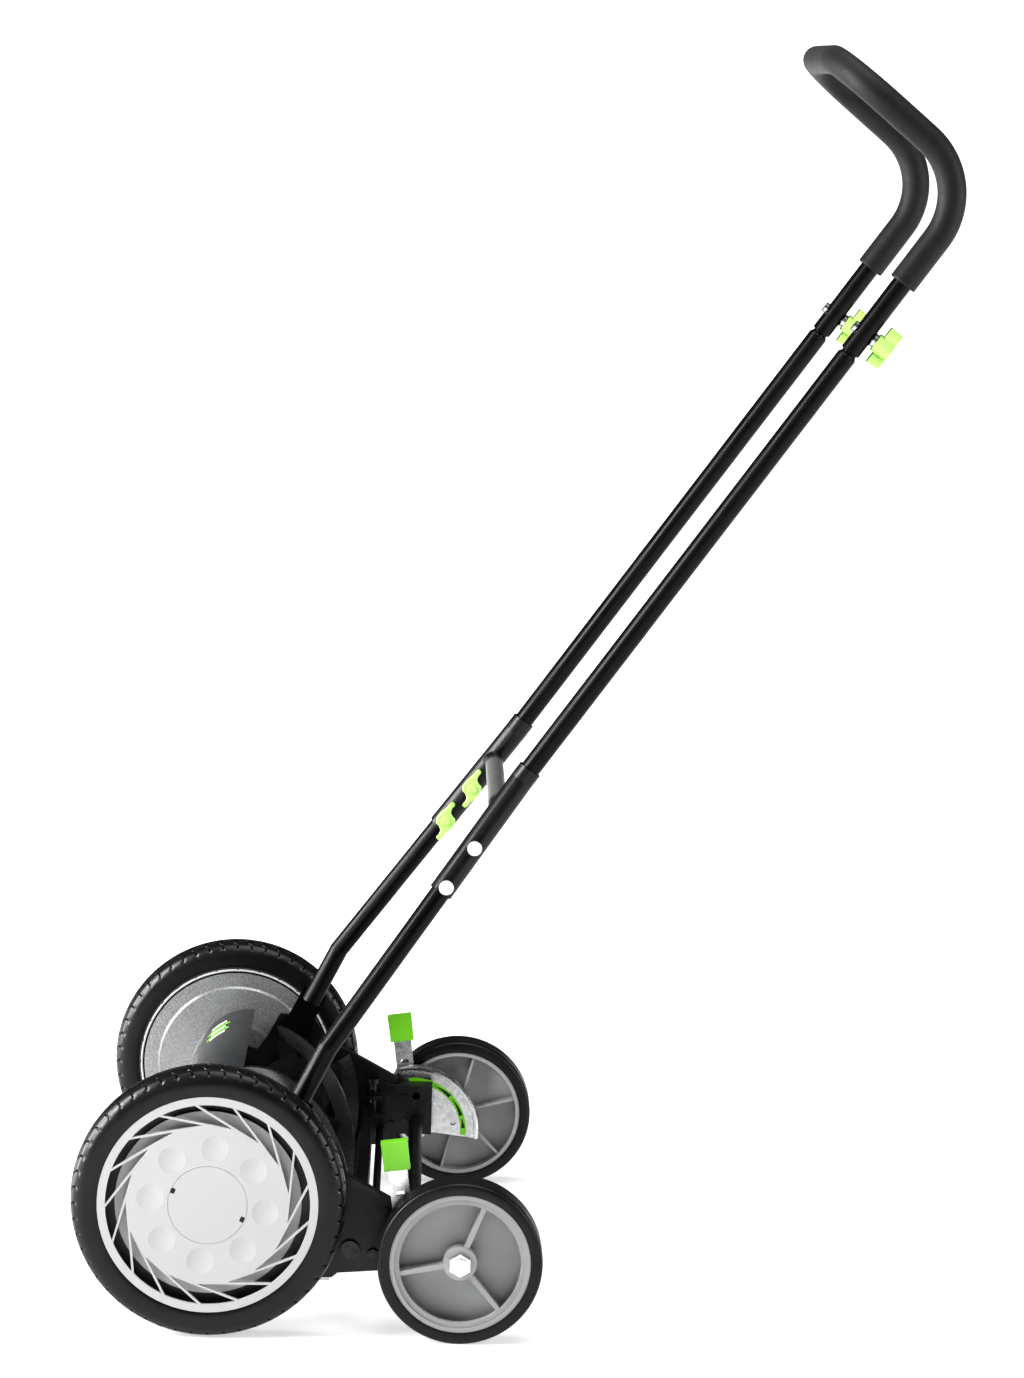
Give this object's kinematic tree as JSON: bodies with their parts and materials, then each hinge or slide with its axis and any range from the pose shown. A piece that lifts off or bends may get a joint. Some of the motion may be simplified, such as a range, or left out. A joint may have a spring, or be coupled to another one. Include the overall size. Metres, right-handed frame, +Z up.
{
  "type": "reel mower",
  "caption": "Push reel mower with geared drive wheels turning a helical-blade reel, lever-set rear wheels and a U-shaped tube handle with foam grip.",
  "frame": {"origin": "centre of the footprint of the overall box, on the ground", "axes": "-X is the direction of travel, +Y is towards the mower's right-hand wheel, +Z is up"},
  "size_m": [0.8026, 0.6156, 1.1931],
  "materials": {
    "black_frame": "semi-gloss black powder coat",
    "guard_paint": "satin charcoal powder coat",
    "black_zinc": "black passivated zinc plate",
    "zinc": "bright zinc plate",
    "bearing_steel": "polished steel",
    "gear_steel": "oiled sintered steel",
    "cover_grey": "grey plastic with metallic flake",
    "rim_plastic": "dark grey moulded plastic",
    "cover_silver": "satin silver-white plastic",
    "tyre_rubber": "black moulded rubber",
    "hub_grey": "mid-grey moulded plastic",
    "rear_rubber": "black rubber with a lighter tread",
    "lime_plastic": "lime green moulded plastic",
    "lime_print": null,
    "blade_paint": "black enamel with bare ground edge",
    "knife_steel": "ground steel",
    "tube_paint": "gloss black enamel",
    "foam": "matt closed-cell foam"
  },
  "bodies": {
    "chassis": {"side_plate_left": "black_frame", "side_plate_right": "black_frame", "front_guard": "guard_paint", "tie_rods": "black_frame", "axle_stubs": "zinc", "bearing_housings": "black_frame", "reel_bearings": "bearing_steel", "gear_cover_left": "cover_grey", "gear_cover_right": "cover_grey", "quadrant_left": "zinc", "quadrant_right": "zinc", "scale_bands": "lime_print", "rear_brackets": "black_frame", "frame_rivets": "black_zinc", "frame_bolts": "black_zinc", "wheel_clips": "zinc"},
    "bed": {"bed_bar": "black_frame", "bed_knife": "knife_steel", "knife_screws": "zinc"},
    "adjusting_screw_left": {"adjuster_left": "black_zinc"},
    "adjusting_screw_right": {"adjuster_right": "black_zinc"},
    "reel": {"reel_shaft": "gear_steel", "reel_spiders": "blade_paint", "reel_blades": "blade_paint", "drive_pawls": "zinc", "shaft_clips": "zinc"},
    "drive_pinion_left": {"pinion_left": "gear_steel"},
    "drive_pinion_right": {"pinion_right": "gear_steel"},
    "drive_wheel_left": {"rim_left": "rim_plastic", "tyre_left": "tyre_rubber", "wheel_cover_left": "cover_silver", "centre_cap_left": "cover_silver", "ring_gear_left": "gear_steel"},
    "height_lever_left": {"lever_left": "zinc", "lever_cap_left": "lime_plastic", "rear_axle_left": "zinc"},
    "rear_wheel_left": {"rear_hub_left": "hub_grey", "rear_tyre_left": "rear_rubber"},
    "drive_wheel_right": {"rim_right": "rim_plastic", "tyre_right": "tyre_rubber", "wheel_cover_right": "cover_silver", "centre_cap_right": "cover_silver", "ring_gear_right": "gear_steel"},
    "height_lever_right": {"lever_right": "zinc", "lever_cap_right": "lime_plastic", "rear_axle_right": "zinc"},
    "rear_wheel_right": {"rear_hub_right": "hub_grey", "rear_tyre_right": "rear_rubber"},
    "handle": {"lower_tubes": "tube_paint", "handle_brace": "tube_paint", "mid_tubes": "tube_paint", "upper_handle": "tube_paint", "foam_grip": "foam", "handle_bolts": "zinc"},
    "splice_nut_1": {"wing_nut_1": "lime_plastic"},
    "splice_nut_2": {"wing_nut_2": "lime_plastic"},
    "splice_nut_3": {"wing_nut_3": "lime_plastic"},
    "splice_nut_4": {"wing_nut_4": "lime_plastic"},
    "handle_knob_left": {"knob_left": "lime_plastic"},
    "handle_knob_right": {"knob_right": "lime_plastic"}
  },
  "joints": [
    {"name": "drive_wheel_left_spin", "type": "hinge", "parent": "chassis", "child": "drive_wheel_left", "pos_m": [-0.27426, 0, 0.127], "axis": [0, 1, 0], "continuous": true},
    {"name": "drive_wheel_right_spin", "type": "hinge", "parent": "chassis", "child": "drive_wheel_right", "pos_m": [-0.27426, 0, 0.127], "axis": [0, 1, 0], "continuous": true},
    {"name": "pinion_left_spin", "type": "hinge", "parent": "chassis", "child": "drive_pinion_left", "pos_m": [-0.21316, 0, 0.10797], "axis": [0, 1, 0], "continuous": true},
    {"name": "pinion_right_spin", "type": "hinge", "parent": "chassis", "child": "drive_pinion_right", "pos_m": [-0.21316, 0, 0.10797], "axis": [0, 1, 0], "continuous": true},
    {"name": "reel_spin", "type": "hinge", "parent": "chassis", "child": "reel", "pos_m": [-0.21316, 0, 0.10797], "axis": [0, 1, 0], "continuous": true},
    {"name": "height_lever_left_swing", "type": "hinge", "parent": "chassis", "child": "height_lever_left", "pos_m": [-0.08816, -0.258, 0.06005], "axis": [0, 1, 0], "range_deg": [0, 80]},
    {"name": "height_lever_right_swing", "type": "hinge", "parent": "chassis", "child": "height_lever_right", "pos_m": [-0.08816, 0.258, 0.06005], "axis": [0, 1, 0], "range_deg": [0, 80]},
    {"name": "rear_wheel_left_spin", "type": "hinge", "parent": "height_lever_left", "child": "rear_wheel_left", "pos_m": [-0.04179, 0, 0.0762], "axis": [0, 1, 0], "continuous": true},
    {"name": "rear_wheel_right_spin", "type": "hinge", "parent": "height_lever_right", "child": "rear_wheel_right", "pos_m": [-0.04179, 0, 0.0762], "axis": [0, 1, 0], "continuous": true},
    {"name": "bed_tilt", "type": "hinge", "parent": "chassis", "child": "bed", "pos_m": [-0.1441, 0, 0.07001], "axis": [0, -1, 0], "range_deg": [0, 3]},
    {"name": "adjusting_screw_left_turn", "type": "hinge", "parent": "chassis", "child": "adjusting_screw_left", "pos_m": [-0.1301, -0.221, 0.10201], "axis": [0, 0, 1], "range_deg": [0, 360]},
    {"name": "adjusting_screw_right_turn", "type": "hinge", "parent": "chassis", "child": "adjusting_screw_right", "pos_m": [-0.1301, 0.221, 0.10201], "axis": [0, 0, 1], "range_deg": [0, 360]},
    {"name": "handle_fold", "type": "hinge", "parent": "chassis", "child": "handle", "pos_m": [-0.21216, 0, 0.17197], "axis": [0, -1, 0], "range_deg": [0, 60]},
    {"name": "splice_nut_1_turn", "type": "hinge", "parent": "handle", "child": "splice_nut_1", "pos_m": [-0.06242, -0.15837, 0.40705], "axis": [0, 1, 0], "range_deg": [0, 720]},
    {"name": "splice_nut_2_turn", "type": "hinge", "parent": "handle", "child": "splice_nut_2", "pos_m": [-0.03681, -0.14793, 0.44283], "axis": [0, 1, 0], "range_deg": [0, 720]},
    {"name": "splice_nut_3_turn", "type": "hinge", "parent": "handle", "child": "splice_nut_3", "pos_m": [-0.06242, 0.15837, 0.40705], "axis": [0, 1, 0], "range_deg": [0, 720]},
    {"name": "splice_nut_4_turn", "type": "hinge", "parent": "handle", "child": "splice_nut_4", "pos_m": [-0.03681, 0.14793, 0.44283], "axis": [0, 1, 0], "range_deg": [0, 720]},
    {"name": "handle_knob_left_turn", "type": "hinge", "parent": "handle", "child": "handle_knob_left", "pos_m": [0.31171, -0.15, 0.92963], "axis": [0.8131, 0, -0.5821], "range_deg": [0, 720]},
    {"name": "handle_knob_right_turn", "type": "hinge", "parent": "handle", "child": "handle_knob_right", "pos_m": [0.31171, 0.15, 0.92963], "axis": [0.8131, 0, -0.5821], "range_deg": [0, 720]}
  ],
  "couplings": [
    {"joint": "pinion_left_spin", "follows": "drive_wheel_left_spin", "ratio": 4.7647},
    {"joint": "reel_spin", "follows": "drive_wheel_left_spin", "ratio": 4.7647},
    {"joint": "pinion_right_spin", "follows": "drive_wheel_right_spin", "ratio": 4.7647},
    {"joint": "adjusting_screw_left_turn", "follows": "bed_tilt", "ratio": 120},
    {"joint": "adjusting_screw_right_turn", "follows": "bed_tilt", "ratio": 120}
  ]
}
